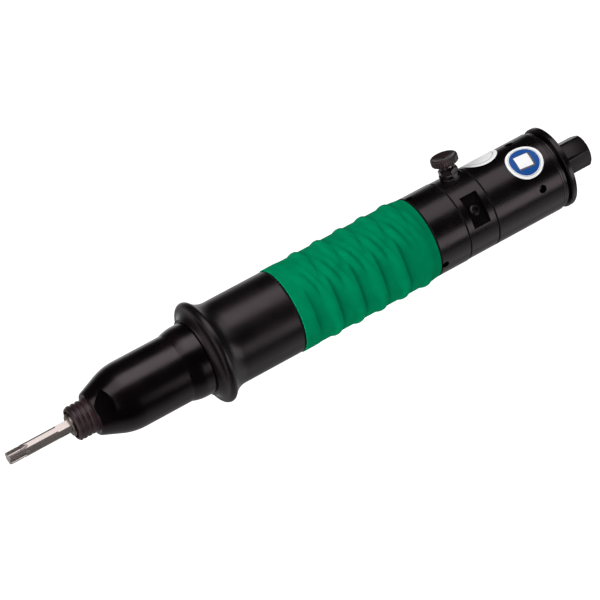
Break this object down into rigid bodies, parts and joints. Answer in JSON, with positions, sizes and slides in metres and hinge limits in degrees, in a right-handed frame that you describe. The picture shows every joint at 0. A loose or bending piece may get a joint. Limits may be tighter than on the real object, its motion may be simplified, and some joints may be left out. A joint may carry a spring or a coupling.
{
  "type": "pneumatic screwdriver",
  "caption": "Straight push-start air screwdriver with ribbed grip, collar, threaded nose, hex driver bit, reversing push button and hex air inlet; motor, gears and clutch inside.",
  "frame": {"origin": "centre of the air inlet's mouth, on the tool's axis", "axes": "+X along the tool's axis and out of the air inlet, so the bit points to -X; +Z from the axis through the reversing button"},
  "size_m": [0.3369, 0.054, 0.0597],
  "materials": {
    "black_casing": "satin black finish on turned aluminium and steel",
    "phosphated_steel": "dark phosphated steel",
    "green_rubber": "matte moulded rubber",
    "bright_steel": "bright ground steel",
    "ground_steel": "ground and hardened steel",
    "aluminium": "machined",
    "bronze": "sintered bronze",
    "strainer_mesh": "perforated stainless disc",
    "black_rubber": "nitrile rubber",
    "valve_plastic": "moulded plastic",
    "vane_laminate": "resin laminate",
    "spring_steel": "oiled spring wire"
  },
  "bodies": {
    "root": {"inlet_bushing": "black_casing", "inlet_strainer": "strainer_mesh", "rear_cap": "black_casing", "rear_casing": "black_casing", "silencer_ring": "bronze", "valve_ring": "black_casing", "valve_body": "aluminium", "valve_seat": "bronze", "locating_screw": "phosphated_steel", "gland_nut": "black_casing", "o_rings": "black_rubber", "motor_casing": "black_casing", "grip_sleeve": "green_rubber", "port_spacer": "aluminium", "rear_end_plate": "aluminium", "motor_cylinder": "ground_steel", "front_end_plate": "aluminium", "motor_bearing_outers": "bright_steel", "motor_bearing_balls": "bright_steel", "ring_gear": "ground_steel", "output_bearing_outer": "bright_steel", "output_bearing_balls": "bright_steel", "clutch_casing": "black_casing", "jaw_bush": "bronze", "nose_sleeve": "black_casing", "thread_bushing": "phosphated_steel", "spindle_bush": "bronze", "throttle_spring": "spring_steel", "button_spring": "spring_steel"},
    "rotor_body": {"rotor": "ground_steel", "vanes": "vane_laminate", "motor_bearing_inners": "bright_steel"},
    "carrier_1_body": {"carrier_1": "ground_steel", "carrier_1_pins": "bright_steel"},
    "planet_1a_body": {"planet_1a": "ground_steel"},
    "planet_1b_body": {"planet_1b": "ground_steel"},
    "planet_1c_body": {"planet_1c": "ground_steel"},
    "carrier_2_body": {"carrier_2": "ground_steel", "carrier_2_pins": "bright_steel", "output_bearing_inner": "bright_steel", "adjusting_nut": "phosphated_steel", "clutch_spring": "spring_steel"},
    "planet_2a_body": {"planet_2a": "ground_steel"},
    "planet_2b_body": {"planet_2b": "ground_steel"},
    "planet_2c_body": {"planet_2c": "ground_steel"},
    "clutch_driver_body": {"clutch_driver": "phosphated_steel", "clutch_balls": "bright_steel", "clutch_washer": "bright_steel"},
    "clutch_jaw_body": {"clutch_jaw": "phosphated_steel"},
    "push_rod_body": {"push_rod": "bright_steel", "throttle_valve": "valve_plastic"},
    "spindle_body": {"spindle": "phosphated_steel", "bit_ball": "bright_steel", "bit_ring": "bright_steel", "bit": "bright_steel"},
    "button_body": {"reverse_knob": "black_casing", "reverse_spool": "aluminium", "spool_rings": "black_rubber"}
  },
  "joints": [
    {"name": "rotor_spin", "type": "hinge", "parent": "root", "child": "rotor_body", "pos_m": [-0.135, 0, 0], "axis": [1, 0, 0], "continuous": true},
    {"name": "carrier_1_spin", "type": "hinge", "parent": "root", "child": "carrier_1_body", "pos_m": [-0.1764, 0, 0], "axis": [1, 0, 0], "continuous": true},
    {"name": "planet_1a_spin", "type": "hinge", "parent": "carrier_1_body", "child": "planet_1a_body", "pos_m": [-0.1701, 0, 0.00877], "axis": [1, 0, 0], "continuous": true},
    {"name": "planet_1b_spin", "type": "hinge", "parent": "carrier_1_body", "child": "planet_1b_body", "pos_m": [-0.1701, -0.0076, -0.00439], "axis": [1, 0, 0], "continuous": true},
    {"name": "planet_1c_spin", "type": "hinge", "parent": "carrier_1_body", "child": "planet_1c_body", "pos_m": [-0.1701, 0.0076, -0.00439], "axis": [1, 0, 0], "continuous": true},
    {"name": "carrier_2_spin", "type": "hinge", "parent": "root", "child": "carrier_2_body", "pos_m": [-0.199, 0, 0], "axis": [1, 0, 0], "continuous": true},
    {"name": "planet_2a_spin", "type": "hinge", "parent": "carrier_2_body", "child": "planet_2a_body", "pos_m": [-0.1827, 0, 0.00877], "axis": [1, 0, 0], "continuous": true},
    {"name": "planet_2b_spin", "type": "hinge", "parent": "carrier_2_body", "child": "planet_2b_body", "pos_m": [-0.1827, -0.0076, -0.00439], "axis": [1, 0, 0], "continuous": true},
    {"name": "planet_2c_spin", "type": "hinge", "parent": "carrier_2_body", "child": "planet_2c_body", "pos_m": [-0.1827, 0.0076, -0.00439], "axis": [1, 0, 0], "continuous": true},
    {"name": "clutch_trip", "type": "slide", "parent": "carrier_2_body", "child": "clutch_driver_body", "axis": [1, 0, 0], "range_m": [0, 0.0018], "stiffness_N_per_m": 60000, "springref_m": -0.002, "deforming": ["clutch_spring"]},
    {"name": "clutch_jaw_spin", "type": "hinge", "parent": "root", "child": "clutch_jaw_body", "pos_m": [-0.245, 0, 0], "axis": [1, 0, 0], "continuous": true},
    {"name": "push_start", "type": "slide", "parent": "root", "child": "push_rod_body", "axis": [1, 0, 0], "range_m": [0, 0.0025], "stiffness_N_per_m": 3000, "springref_m": -0.003, "deforming": ["throttle_spring"]},
    {"name": "spindle_spin", "type": "hinge", "parent": "push_rod_body", "child": "spindle_body", "pos_m": [-0.28, 0, 0], "axis": [1, 0, 0], "continuous": true},
    {"name": "reverse_button", "type": "slide", "parent": "root", "child": "button_body", "axis": [0, 0, -1], "range_m": [0, 0.002], "stiffness_N_per_m": 2000, "springref_m": -0.002, "deforming": ["button_spring"]}
  ],
  "couplings": [
    {"joint": "carrier_1_spin", "follows": "rotor_spin", "ratio": 0.22222},
    {"joint": "planet_1a_spin", "follows": "rotor_spin", "ratio": -0.62222},
    {"joint": "planet_1b_spin", "follows": "rotor_spin", "ratio": -0.62222},
    {"joint": "planet_1c_spin", "follows": "rotor_spin", "ratio": -0.62222},
    {"joint": "carrier_2_spin", "follows": "rotor_spin", "ratio": 0.049383},
    {"joint": "planet_2a_spin", "follows": "rotor_spin", "ratio": -0.13827},
    {"joint": "planet_2b_spin", "follows": "rotor_spin", "ratio": -0.13827},
    {"joint": "planet_2c_spin", "follows": "rotor_spin", "ratio": -0.13827},
    {"joint": "clutch_jaw_spin", "follows": "rotor_spin", "ratio": 0.049383},
    {"joint": "spindle_spin", "follows": "rotor_spin", "ratio": 0.049383}
  ]
}
